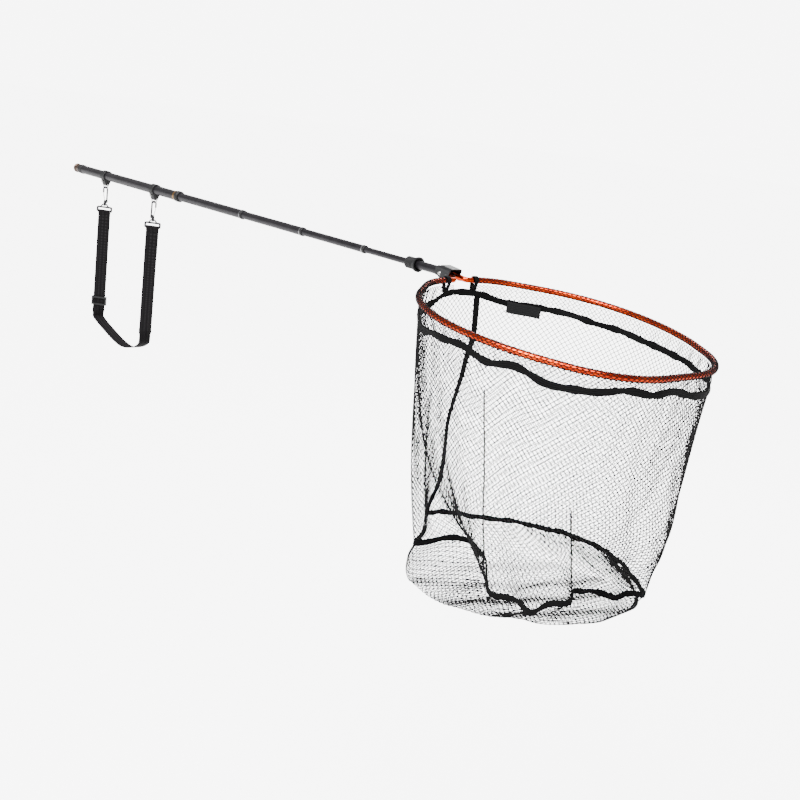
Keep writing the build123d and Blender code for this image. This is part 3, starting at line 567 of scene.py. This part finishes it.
@dataclass
class Bag:
    """The netting bag: collar, tapes, wall and bottom, hung under the hoop."""

    outline: Outline
    collar_top: float = 7.5
    upper: float = 38.5
    ring_z: float = -479.5
    sag: float = 66.0
    fullness: float = 1.36
    lower_x: float = 0.90
    lower_y: float = 0.72
    shift: tuple[float, float] = (14.0, -33.0)
    cell: float = 12.2
    row: float = 10.4
    twine: float = 0.62
    knot: float = 1.75
    tape: float = 14.0
    girth: float = 1720.0
    height: float = 400.0
    rear_gap: float = 26.0
    folded_rise: float = 20.0
    ring_points: tuple[tuple[float, float, float], ...] = (
        (0.00, 92, -48), (0.05, 116, -12), (0.11, 150, 26), (0.19, 222, 97), (0.27, 295, 141),
        (0.34, 385, 157), (0.42, 475, 122), (0.47, 538, 82), (0.50, 588, 42), (0.52, 556, 20),
        (0.545, 562, -16), (0.572, 512, -24), (0.60, 508, -70), (0.63, 541, -112), (0.655, 523, -158),
        (0.68, 528, -203), (0.71, 476, -196), (0.735, 446, -226), (0.77, 388, -168), (0.80, 326, -108),
        (0.83, 262, -80), (0.855, 218, -120), (0.885, 212, -196), (0.93, 170, -120), (0.965, 112, -72),
        (1.00, 92, -48),
    )

    seams: tuple[tuple[tuple[float, float], ...], ...] = (
        ((0.12, 0.714), (0.35, 0.7113), (0.5, 0.7123), (0.65, 0.7173), (0.8, 0.7233), (0.9, 0.7303), (1.0, 0.742)),
        ((0.55, 0.609), (0.65, 0.6071), (0.8, 0.6056), (0.9, 0.6056), (1.0, 0.610)),
    )

    def __post_init__(self) -> None:
        """Smooth the lower tape's listed path."""
        spots = np.array(self.ring_points)
        shares = np.arange(720) / 720
        run = np.stack([np.interp(shares, spots[:, 0], spots[:, i]) for i in (1, 2)], axis=1)
        weights = np.hanning(23)
        weights /= weights.sum()
        wrapped = np.concatenate([run[-11:], run, run[:11]])
        self.ring = np.stack([np.convolve(wrapped[:, i], weights, "valid") for i in (0, 1)], axis=1)

    def ring_at(self, share: np.ndarray | float) -> np.ndarray:
        """The lower tape's place in plan, ahead of the pin and across, in millimetres."""
        at = np.mod(share, 1.0) * 720
        grid = np.arange(721)
        closed = np.concatenate([self.ring, self.ring[:1]])
        return np.stack([np.interp(at, grid, closed[:, i]) for i in (0, 1)], axis=-1)

    def plain_ring(self, share: np.ndarray | float) -> np.ndarray:
        """The lower ring's plain outline in plan."""
        x, y = self.outline.at(share, self.lower_x, self.lower_y)
        return np.stack([x + self.shift[0], y + self.shift[1]], axis=-1)

    def wander(self, kind: Wave, share: np.ndarray | float) -> np.ndarray | float:
        """How far below its level a tape hangs, in millimetres, round the bag."""
        a = tau * np.asarray(share)
        near = 0.5 - 0.5 * np.sin(a)
        if kind is Wave.UPPER:
            ripple = 3.0 * np.sin(5 * a + 0.6) + 3.2 * np.sin(11 * a + 2.0) + 2.2 * np.sin(17 * a + 0.9)
            rear = np.exp(-((np.sin(a / 2) / 0.11) ** 2))
            turn = np.mod(share, 1.0)
            dip = 13.0 * np.exp(-(((turn - 0.94) / 0.028) ** 2))
            dip = dip - 9.0 * np.exp(-(((turn - 0.545) / 0.06) ** 2))
            return 2.5 - 10.0 * near + ripple * (0.25 + 1.0 * near) - 19.0 * rear + dip
        return (2.5 * np.sin(9 * a + 1.1) + 2.0 * np.sin(21 * a + 0.4)) * (0.3 + near)

    def upper_at(self, share: np.ndarray | float, drop: np.ndarray | float) -> np.ndarray:
        """A point straight below the hoop's outline, in millimetres in the row frame."""
        x, y = self.outline.at(share)
        cx = x - self.outline.mid
        far = np.hypot(cx, y)
        x, y = x - 2.3 * cx / far, y - 2.3 * y / far
        forward = PIVOT.x / MM + x * HEAD_X.x
        return np.stack([forward, y + 0 * x, PIVOT.z / MM + x * HEAD_X.z - drop + 0 * x], axis=-1)

    def lower_at(self, share: np.ndarray | float, pull: np.ndarray | float = 1.0) -> np.ndarray:
        """A point of the lower tape's line, from its plain ring at pull 0 to its folded path at 1."""
        plain, folded = self.plain_ring(share), self.ring_at(share)
        pull = np.asarray(pull)[..., None]
        plan = plain + (folded - plain) * pull
        level = self.ring_z - self.wander(Wave.LOWER, share)
        return np.stack([PIVOT.x / MM + plan[..., 0], plan[..., 1], level + 0 * plan[..., 0]], axis=-1)

    def fold(self, share: np.ndarray, depth: np.ndarray) -> np.ndarray:
        """How far the netting stands out from its plain wall, in millimetres."""
        a = tau * np.asarray(share)
        body = np.sin(np.pi * np.clip(depth, 0, 1)) ** 0.8
        waves = 3.4 * np.sin(7 * a + 0.4) + 2.4 * np.sin(12 * a + 2.3 + 0.8 * depth)
        front = 26.0 * np.exp(-(((np.mod(share, 1.0) - 0.45) / 0.08) ** 2))
        front = front * np.sin(pi * np.clip(depth, 0, 1) ** 2.4)
        return body * (waves - 2.0) + 1.2 * np.sin(31 * a + 5 * depth) * body + front

    def side(self, share: np.ndarray | float, depth: np.ndarray | float) -> np.ndarray:
        """A point of the wall between the two tapes, by its share of the depth, in metres."""
        share, depth = np.asarray(share, float), np.asarray(depth, float)
        top = self.upper_at(share, self.upper + self.wander(Wave.UPPER, share))
        low = self.lower_at(share, np.clip(depth, 0, 1) ** 2.1)
        point = top + (low - top) * depth[..., None]
        out = point[..., :2] - np.array([PIVOT.x / MM + self.outline.mid, -15.0])
        out /= np.linalg.norm(out, axis=-1, keepdims=True)
        point[..., :2] += out * self.fold(share, depth)[..., None]
        return point * MM

    def beside(self, kind: Wave, share: float, lift: float, out: float) -> Vector:
        """A point of a tape's section.

        Args:
            kind: which tape.
            share: how far round the bag.
            lift: millimetres above the tape's line.
            out: millimetres out of the bag, square to the line.

        Returns:
            The point in metres.
        """
        span = np.array([share - 0.0012, share, share + 0.0012])
        if kind is Wave.UPPER:
            line = self.upper_at(span, self.upper + self.wander(kind, span))
        else:
            line = self.lower_at(span)
        run = Vector(line[2] - line[0])
        square = Vector((run.y, -run.x, 0)).normalized()
        return (Vector(line[1]) + square * -out + Vector((0, 0, lift))) * MM

    def netting(
        self,
        name: str,
        top: Callable[[np.ndarray, np.ndarray], np.ndarray],
        first: float,
        last: float,
        columns: int,
        rows: int,
        jitter: float,
        skip: Callable[[float], bool] | None = None,
    ) -> bpy.types.Object:
        """Net a part of the bag with knotted diamonds.

        Args:
            name: the piece's name.
            top: gives a point from arrays of shares round and down.
            first: share round where the part starts.
            last: share round where it ends.
            columns: cells all the way round the bag.
            rows: half cells down.
            jitter: how far knots stray, as a share of a cell.
            skip: says at which shares round there is no netting.

        Returns:
            The new object.
        """
        runs = []
        count = 2 * columns
        down = np.arange(rows + 1)
        for k in range(int(round(first * count)), int(round(last * count))):
            column = k + (down + k) % 2
            share = column / count
            if skip is not None and skip(share.mean()):
                continue
            stray = jitter * np.sin(column * 12.9898 + down * 78.233) * 0.5
            knots_share = share + stray / count
            knots_down = (down + 0.6 * stray * ((down > 0) & (down < rows))) / rows
            shares = np.empty(2 * rows + 1)
            depths = np.empty(2 * rows + 1)
            shares[0::2], depths[0::2] = knots_share, knots_down
            shares[1::2] = (knots_share[:-1] + knots_share[1:]) / 2
            depths[1::2] = (knots_down[:-1] + knots_down[1:]) / 2
            runs.append(top(shares, depths))
        return strands(name, runs, self.twine * MM, self.knot)

    def collar_at(self, share: np.ndarray, depth: np.ndarray) -> np.ndarray:
        """A point of the collar between the hoop and the upper tape."""
        low = self.upper + self.wander(Wave.UPPER, share)
        drop = self.collar_top + (low - self.collar_top) * depth
        point = self.upper_at(share, drop)
        bunch = 2.2 * np.sin(tau * 43 * share + 3 * depth) * np.sin(pi * depth) - 1.0
        out = point[..., :2] - np.array([PIVOT.x / MM + self.outline.mid, 0.0])
        point[..., :2] += out / np.linalg.norm(out, axis=-1, keepdims=True) * bunch[..., None]
        return point * MM

    def tape_ring(self, name: str, kind: Wave, thick: float) -> bpy.types.Object:
        """A folded tape sewn round the bag, wavy in its level and its lean."""
        width = self.tape if kind is Wave.UPPER else self.tape * 0.82
        section = rounded_bar(width, thick)

        def place(u: float, v: float) -> Vector:
            a, b = section(u)
            turn = 0.35 * sin(tau * 9 * v) + 0.3 * sin(tau * 14 * v + 1)
            pinch = 1 + 0.1 * sin(tau * 31 * v) + 0.07 * sin(tau * 53 * v + 2)
            up, out = a * cos(turn) * pinch - b * sin(turn), a * sin(turn) * 0.5 + b * cos(turn)
            return self.beside(kind, v, up, out)

        return lofted(name, 20, 460, place, (2 * width * MM, 1.7), True, True)

    def bottom_runs(self) -> list[np.ndarray]:
        """The bottom's twines: flat diamonds cut to the lower ring, sagged, and gathered to the tape."""
        shares = np.arange(720) / 720
        middle = np.array([self.outline.mid + self.shift[0], self.shift[1]])
        rim = self.plain_ring(shares) - middle
        angles = np.unwrap(np.arctan2(rim[:, 1], rim[:, 0]))
        order = np.argsort(np.mod(angles, tau))
        angles, reach = np.mod(angles, tau)[order], np.hypot(*rim.T)[order] - 1.0
        turned = shares[order]
        runs: list[np.ndarray] = []
        half_x, half_y = self.cell / 2, self.row / 2
        across, deep = int(380 / half_x), int(330 / half_y)
        down = np.arange(-deep, deep + 1)
        steps = np.arange(2 * len(down) - 1) / 2
        for k in range(-across, across):
            x = np.interp(steps, np.arange(len(down)), (k + (down + k) % 2) * half_x)
            y = np.interp(steps, np.arange(len(down)), down * half_y)
            angle = np.mod(np.arctan2(y, x), tau)
            rim_far = np.interp(angle, angles, reach, period=tau)
            part = np.hypot(x, y) / (rim_far * self.fullness)
            inside = np.flatnonzero(part < 1.0)
            if len(inside) < 5:
                continue
            keep = slice(inside[0] + inside[0] % 2, inside[-1] + 1)
            x, y, part, angle, rim_far = x[keep], y[keep], part[keep], angle[keep], rim_far[keep]
            share = turned[np.searchsorted(angles, angle) % 720]
            flat = np.clip(part * self.fullness, 0, 1)
            rise = np.clip((part - 1 / self.fullness) / (1 - 1 / self.fullness), 0, 1)
            outward = np.stack([np.cos(angle), np.sin(angle)], axis=1)
            plan = outward * (rim_far * (flat * 0.97 + 0.03 * rise))[:, None]
            plan += middle + (self.ring_at(share) - self.plain_ring(share)) * (rise**1.6)[:, None]
            bow = 5.0 * np.sin(pi * rise) * np.interp(plan[:, 0], (100, 300), (-1.0, 1.0))
            plan += outward * bow[:, None]
            belly = (1 - rise**1.15) * (self.sag - 8.0) + 8.0 * (1 - flat**2)
            belly *= np.interp(plan[:, 0], (60, 200, 340, 440, 580), (1.05, 1.28, 1.1, 0.78, 0.35))
            ruck = 3.0 * np.sin(x / 19.0) * np.sin(y / 31.0) * (1 - rise)
            level = self.ring_z - self.wander(Wave.LOWER, share) * rise - 4.0 - belly + ruck
            runs.append(np.stack([PIVOT.x / MM + plan[:, 0], plan[:, 1], level], axis=1) * MM)
        return runs

    def build(self, finishes: Finishes) -> None:
        """Make and settle every piece of the bag."""
        length, height = self.girth * MM, self.height * MM
        columns = int(self.girth / self.cell)
        rows = 2 * int(self.height / self.row)
        far = self.netting("wall_net_far", self.side, 0.0, 0.5, columns, rows, 0.16)
        near = self.netting("wall_net_near", self.side, 0.5, 1.0, columns, rows, 0.16)
        gap = self.rear_gap / (length / MM)
        collar = self.netting(
            "collar_net", self.collar_at, 0.0, 1.0, int(columns * 1.25), 7, 0.5,
            lambda share: share < gap or share > 1 - gap,
        )
        bottom = strands("bottom_net", self.bottom_runs(), self.twine * MM, self.knot)
        upper = self.tape_ring("upper_tape", Wave.UPPER, 3.4)
        lower = self.tape_ring("lower_tape", Wave.LOWER, 3.2)
        for piece, slot, node in (
            (far, "netting", "bag_wall"), (near, "netting", "bag_wall"), (collar, "netting", "net_collar"),
            (bottom, "netting", "bag_bottom"), (upper, "tape", "upper_band"), (lower, "tape", "lower_band"),
        ):
            settle(piece, "head", slot, finishes, node)
        rear = self.rear_tape()
        settle(rear, "head", "tape", finishes, "seam_tape")
        tag = self.tag()
        settle(tag, "head", "tag", finishes, "label_tag")
        lacing = strands("wall_lacing", self.seam_runs(), 0.8 * MM, 1.3)
        settle(lacing, "head", "netting", finishes)
        for piece in (far, near, collar, bottom, upper, lower, rear, tag, lacing):
            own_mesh(piece)

    def seam_runs(self) -> list[np.ndarray]:
        """The twines that lace the near wall's panels together, two to a seam."""
        runs = []
        for path in self.seams:
            depths, shares = np.array(path).T
            depth = np.linspace(depths[0], depths[-1], 121)
            share = np.interp(depth, depths, shares)
            for side in (-1, 1):
                sway = side * (0.7 + 0.5 * np.sin(depth * 190.0)) / self.girth
                runs.append(self.side(share + sway, depth))
        return runs

    def rear_tape(self) -> bpy.types.Object:
        """The tape down the rear of the wall, under the head joint."""
        section = rounded_bar(15.5, 2.4)
        drops = (0, 0.1, 0.2, 0.29, 0.38, 0.46, 0.58, 0.66, 0.74, 0.86, 0.93, 1)
        sways = (46, 50, 54, 42, 37, 26, 13, 17, 24, 27, 10, -6)
        soften = np.linspace(-0.035, 0.035, 7)

        def place(u: float, v: float) -> Vector:
            a, b = section(u)
            sway = float(np.interp(v + soften, drops, sways).mean())
            turn = 0.5 * sin(tau * 1.3 * v)
            point = self.side((sway + a * cos(turn)) / self.girth, v)
            return Vector(point) + HEAD_X * (-b - 1.2 + 0.3 * a * sin(turn)) * MM

        return lofted("rear_tape", 16, 90, place, (0.026, 0.45))

    def tag(self) -> bpy.types.Object:
        """The small plain tag inside the upper tape on the far side."""
        width, height = 74.0, 24.0
        section = rounded_bar(height, 1.0)
        middle = 0.090

        def place(u: float, v: float) -> Vector:
            a, b = section(u)
            share = middle + (v - 0.5) * width / self.girth
            curl = 1.5 * sin(pi * v) + 1.0 * sin(tau * v)
            return self.beside(Wave.UPPER, share, a - 9.0 - 4.0 * (v - 0.5), b - 4.0 - curl)

        return lofted("plain_tag", 18, 30, place, (0.06, 0.062))


@dataclass
class Hoop:
    """What is wrapped round the hoop: the mesh sleeve and the tape ties beside the arms."""

    outline: Outline
    tube: float = 5.5
    twine: float = 0.5
    pitch: float = 50.0
    starts: int = 5
    clear_end: float = 27.0

    def frame_at(self, distance: float) -> tuple[Vector, Vector, Vector]:
        """Centre, side and up of the hoop's tube, a distance along it in millimetres."""
        run = self.outline.tube
        far = self.length
        place = min(max(distance / far, 0), 1) * (len(run) - 1)
        low = min(int(place), len(run) - 2)
        a, b = run[low], run[low + 1]
        x, y = a + (b - a) * (place - low)
        along = Vector((b[0] - a[0], b[1] - a[1])).normalized()
        centre = PIVOT + (HEAD_X * x + CROSS * y) * MM
        side = HEAD_X * along.y - CROSS * along.x
        return centre, side, HEAD_UP

    def __post_init__(self) -> None:
        """Measure the tube's length."""
        self.length = float(np.hypot(*np.diff(self.outline.tube, axis=0).T).sum())

    def sleeve_runs(self) -> list[np.ndarray]:
        """The crossing twines of the mesh sleeve."""
        runs = []
        step = self.pitch / self.starts / 4
        count = int((self.length - 2 * self.clear_end) / step)
        radius = (self.tube + self.twine + 0.12) * MM
        frames = [self.frame_at(self.clear_end + step * i) for i in range(count + 1)]
        for hand in (-1, 1):
            for start in range(self.starts):
                points = []
                for i, (centre, side, up) in enumerate(frames):
                    angle = hand * tau * step * i / self.pitch + tau * start / self.starts
                    angle += 0.12 * sin(i * 0.21 + start)
                    points.append(centre + (side * cos(angle) + up * sin(angle)) * radius)
                runs.append(np.array([tuple(p) for p in points]))
        return runs

    def build(self, finishes: Finishes) -> None:
        """Make and settle the sleeve and the ties."""
        sleeve = strands("hoop_mesh_sleeve", self.sleeve_runs(), self.twine * MM, 1.35, 4)
        settle(sleeve, "head", "netting", finishes, "net_sleeve")
        for name, near in (("far_tie", False), ("near_tie", True)):
            tie = self.tie(name, near)
            if near:
                settle(tie, "head", "tape", finishes, "arm_ties")
            else:
                settle(tie, "head", "tape", finishes)

    def tie(self, name: str, near: bool) -> bpy.types.Object:
        """A tape loop round the hoop that hangs down to the upper tape."""
        section = rounded_bar(10.5, 2.0)
        at = self.length - 29.0 if near else 29.0
        centre, side, up = self.frame_at(at)
        _, ahead, _ = self.frame_at(at)
        along = ahead.cross(up).normalized()

        def place(u: float, v: float) -> Vector:
            a, b = section(u)
            angle = tau * v
            radius = 7.9 + b
            down = max(0.0, -sin(angle)) ** 1.5 * 17.0
            point = side * (radius * cos(angle) * (1 - 0.25 * max(0.0, -sin(angle))))
            point = point + up * (radius * sin(angle) - down)
            return centre + (point + along * a * (1 + 0.06 * sin(5 * angle))) * MM

        return lofted(name, 16, 48, place, (0.021, 0.07), True, True)


# ------------------------------------------------------------------ the carrying strap
@dataclass
class Strap:
    """The webbing from the rear loop through the adjuster, round the bight, to the front loop."""

    width: float = 36.0
    thick: float = 1.8
    spread: float = 147.0
    bar: float = -105.2
    adjuster: float = -378.0
    bar_radius: float = 4.1

    def route(self) -> list[tuple[float, float, float]]:
        """The strap's points, in millimetres along, across and up."""
        s, top = self.spread, self.adjuster - 18
        low = top - 22
        return [
            (-s, 0, self.bar - 8),
            (-s, 0, top),
            (-s, 0, low),
            (-s, 0, low - 12),
            (10, 0, -475),
            (70, 0, -475),
            (s, 0, -447),
            (s, 0, low),
            (s, 0, top),
            (s, 0, self.bar - 8),
        ]

    def line(self) -> list[Vector]:
        """Read the strap's smooth line from a NURBS spline through its route."""
        curve = bpy.data.curves.new("strap_route", "CURVE")
        curve.dimensions = "3D"
        spline = curve.splines.new("NURBS")
        route = self.route()
        spline.points.add(len(route) - 1)
        for point, place in zip(spline.points, route):
            point.co = (*(c * MM for c in place), 1)
        spline.order_u = 3
        spline.use_endpoint_u = True
        spline.resolution_u = 24
        obj = bpy.data.objects.new("strap_route", curve)
        mesh = bpy.data.meshes.new_from_object(obj)
        points = [v.co.copy() for v in mesh.vertices]
        bpy.data.objects.remove(obj)
        bpy.data.meshes.remove(mesh)
        bpy.data.curves.remove(curve)
        return points

    def facing(self, z: float) -> Vector:
        """The direction across the webbing at a height in metres: turned on the legs, square in the bight."""
        top = (self.adjuster - 18) * MM
        part = min(max((top - z) / (22 * MM), 0), 1)
        part = part * part * (3 - 2 * part)
        angle = radians(45 + 45 * part)
        return Vector((cos(angle), sin(angle), 0))

    def ribbon(
        self, name: str, line: Sequence[Vector], facings: Sequence[Vector], ripple: float = 0.0
    ) -> bpy.types.Object:
        """Sweep the webbing's ribbed section along a line.

        Args:
            name: the piece's name.
            line: the middle of the webbing.
            facings: the direction across it at each point.
            ripple: how far it buckles, in millimetres.

        Returns:
            The new object.
        """
        section = rounded_bar(self.width, self.thick, 7, 0.16)
        steps = [0.0]
        for a, b in zip(line, line[1:]):
            steps.append(steps[-1] + (b - a).length)
        last = len(line) - 1

        def place(u: float, v: float) -> Vector:
            i = min(int(round(v * last)), last)
            ahead = line[min(i + 1, last)] - line[max(i - 1, 0)]
            across = facings[i]
            out = across.cross(ahead).normalized()
            across = ahead.cross(out).normalized()
            a, b = section(u)
            wave = ripple * (sin(steps[i] * 60) * 0.6 + sin(steps[i] * 143 + 1) * 0.4)
            bow = 0.4 * cos(pi * a / self.width) * sin(steps[i] * 31)
            return line[i] + (across * a + out * (b + wave + bow)) * MM

        return lofted(name, 44, last, place, (2 * self.width * MM, steps[-1]))

    def lap(self, name: str, x: float, low: float) -> bpy.types.Object:
        """The end of the webbing, turned round the loop's bar and laid along the leg.

        Args:
            name: the piece's name.
            x: the leg's place along the pole, in millimetres.
            low: height of the cut end.

        Returns:
            The new object.
        """
        across = self.facing(0.0)
        out = across.cross(Vector((0, 0, -1))).normalized()
        radius = self.bar_radius
        gap = self.thick + 0.15
        shape = [(gap, low), (gap, low + 12)]
        shape += [(gap, self.bar - 14), (gap + 0.5, self.bar - 9)]
        for k in range(13):
            angle = radians(-35 + 250 * k / 12)
            shape.append((radius * cos(angle), self.bar + radius * sin(angle)))
        shape += [(0.4, self.bar - 9.5), (0.0, self.bar - 14)]
        line = [Vector((x, 0, 0)) * MM + out * n * MM + Vector((0, 0, z * MM)) for n, z in shape]
        fine: list[Vector] = []
        for a, b in zip(line, line[1:]):
            parts = max(1, int((b - a).length / 0.004))
            fine += [a.lerp(b, i / parts) for i in range(parts)]
        fine.append(line[-1])
        return self.ribbon(name, fine, [across] * len(fine))

    def stitches(self) -> bpy.types.Object:
        """The sewn box on the front leg's lap."""
        across = self.facing(0.0)
        out = across.cross(Vector((0, 0, -1))).normalized()
        base = Vector((self.spread, 0, 0)) * MM
        runs = []
        top, low, half = self.bar - 22, self.bar - 68, 13.0
        corners = [(-half, top), (half, top), (half, low), (-half, low)]
        sides = list(zip(corners, corners[1:] + corners[:1]))
        sides += [((-half, top), (half, low)), ((half, top), (-half, low))]
        for face in (-1.15, self.thick * 1.5 + 0.35):
            for (ax, az), (bx, bz) in sides:
                length = hypot(bx - ax, bz - az)
                count = int(length / 3.4)
                for i in range(count):
                    p, q = (i + 0.15) / count, (i + 0.8) / count
                    points = []
                    for share, lift in ((p, -0.1), ((p + q) / 2, 0.25), (q, -0.1)):
                        a, z = ax + (bx - ax) * share, az + (bz - az) * share
                        n = face + (lift if face > 0 else -lift)
                        points.append(base + across * a * MM + out * n * MM + Vector((0, 0, z * MM)))
                    runs.append(np.array([tuple(p) for p in points]))
        return strands("strap_stitches", runs, 0.32 * MM, 1.0, 4)

    def build(self, finishes: Finishes) -> None:
        """Make and settle the strap's pieces."""
        line = self.line()
        strap = self.ribbon("strap_ribbon", line, [self.facing(p.z) for p in line], 0.25)
        rear = self.lap("rear_lap", -self.spread, self.adjuster + 6)
        front = self.lap("front_lap", self.spread, self.bar - 74)
        sewn = self.stitches()
        length = sum((b - a).length for a, b in zip(line, line[1:]))
        settle(strap, "strap", "webbing", finishes, "strap_webbing")
        for piece in (rear, front, sewn):
            settle(piece, "strap", "webbing", finishes)
        tuple(line[0])
        [tuple(p) for p in line]


# ------------------------------------------------------------------ light and camera
@dataclass
class Studio:
    """A pale floor, soft light and the camera."""

    place: tuple[float, float, float] = (3.01419552, -1.60346366, 0.32324318)
    yaw: float = radians(47.506)
    pitch: float = radians(14.613)
    roll: float = radians(7.436)
    lens: float = 51.16
    floor: float = -1.3
    surround: float = 0.6
    backdrop: float = 5.0

    def camera(self) -> None:
        """Set the camera at the viewing angle."""
        data = bpy.data.cameras.new("camera")
        data.lens = self.lens
        data.sensor_width = 36.0
        data.clip_end = 200.0
        cam = bpy.data.objects.new("camera", data)
        bpy.context.scene.collection.objects.link(cam)
        ahead = Vector((-sin(self.yaw) * cos(self.pitch), cos(self.yaw) * cos(self.pitch), -sin(self.pitch)))
        right = Vector((cos(self.yaw), sin(self.yaw), 0))
        up = right.cross(ahead)
        right, up = right * cos(self.roll) + up * sin(self.roll), up * cos(self.roll) - right * sin(self.roll)
        turn = cam.matrix_world.to_3x3()
        turn.col[0], turn.col[1], turn.col[2] = right, up, -ahead
        whole = turn.to_4x4()
        whole.translation = Vector(self.place)
        cam.matrix_world = whole
        bpy.context.scene.camera = cam

    def lights(self) -> None:
        """Set one broad soft sun, two soft boxes and a white surround."""
        sun = bpy.data.lights.new("soft_sun", "SUN")
        sun.energy = 7.0
        sun.angle = radians(55)
        lamp = bpy.data.objects.new("soft_sun", sun)
        bpy.context.scene.collection.objects.link(lamp)
        lamp.rotation_euler = (radians(24), radians(14), 0)
        for name, place, size, power, aim in (
            ("key_light", (1.9, -2.4, 1.9), 1.3, 90, (1.3, 0, -0.1)),
            ("rear_light", (-0.4, 2.8, 1.6), 1.6, 60, (0.9, 0, 0)),
        ):
            data = bpy.data.lights.new(name, "AREA")
            data.shape = "SQUARE"
            data.size = size
            data.energy = power
            lamp = bpy.data.objects.new(name, data)
            bpy.context.scene.collection.objects.link(lamp)
            lamp.location = place
            lamp.rotation_mode = "QUATERNION"
            lamp.rotation_quaternion = (Vector(aim) - Vector(place)).to_track_quat("-Z", "Y")
        world = bpy.data.worlds.new("studio")
        bpy.context.scene.world = world
        world.use_nodes = True
        tree = world.node_tree
        sky = tree.nodes["Background"]
        sky.inputs["Color"].default_value = (1, 1, 1, 1)
        ray = tree.nodes.new("ShaderNodeLightPath")
        seen = tree.nodes.new("ShaderNodeMapRange")
        seen.inputs["To Min"].default_value = self.surround
        seen.inputs["To Max"].default_value = self.backdrop * 1.5  # as bright as the lit floor
        tree.links.new(ray.outputs["Is Camera Ray"], seen.inputs["Value"])
        tree.links.new(seen.outputs["Result"], sky.inputs["Strength"])

    def stage(self) -> None:
        """Lay the floor."""
        bm = bmesh.new()
        bmesh.ops.create_circle(bm, cap_ends=True, segments=96, radius=60.0)
        bmesh.ops.translate(bm, verts=bm.verts, vec=(1.0, 0, self.floor))
        floor = joined("floor", bm)
        g = Nodes("pale_floor")
        grain = g.noise(3.0, 2.0)
        g.link(g.ramp(grain, 0.2, 0.8, (0.93, 0.93, 0.93), (0.95, 0.95, 0.95)), g.shader, "Base Color")
        g.shader.inputs["Roughness"].default_value = 0.9
        g.shader.inputs["Emission Color"].default_value = (1, 1, 1, 1)
        ray = g.add("ShaderNodeLightPath")
        glow = g.add("ShaderNodeMapRange")
        glow.inputs["To Max"].default_value = self.backdrop
        g.link(ray.outputs["Is Camera Ray"], glow, "Value")
        g.link(glow.outputs["Result"], g.shader, "Emission Strength")
        floor.data.materials.append(g.done())
        floor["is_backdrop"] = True

    def build(self) -> None:
        """Set the whole studio."""
        self.camera()
        self.lights()
        self.stage()


def corners(box: tuple[Vector, Vector]) -> list[list[float]]:
    """A box's two corners as plain lists."""
    return [[float(c) for c in corner] for corner in box]


def main() -> None:
    """Build and dress every piece, in order."""
    logging.basicConfig(level=logging.INFO, format="%(name)s %(message)s")
    finishes = Finishes()
    finishes.build()
    finishes.dress_frame()
    outline = Outline()
    Strap().build(finishes)
    Hoop(outline).build(finishes)
    Bag(outline).build(finishes)
    Studio().build()
    {"cad": corners(CAD_BOX), "visual": corners(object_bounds())}


if __name__ == "__main__":
    main()
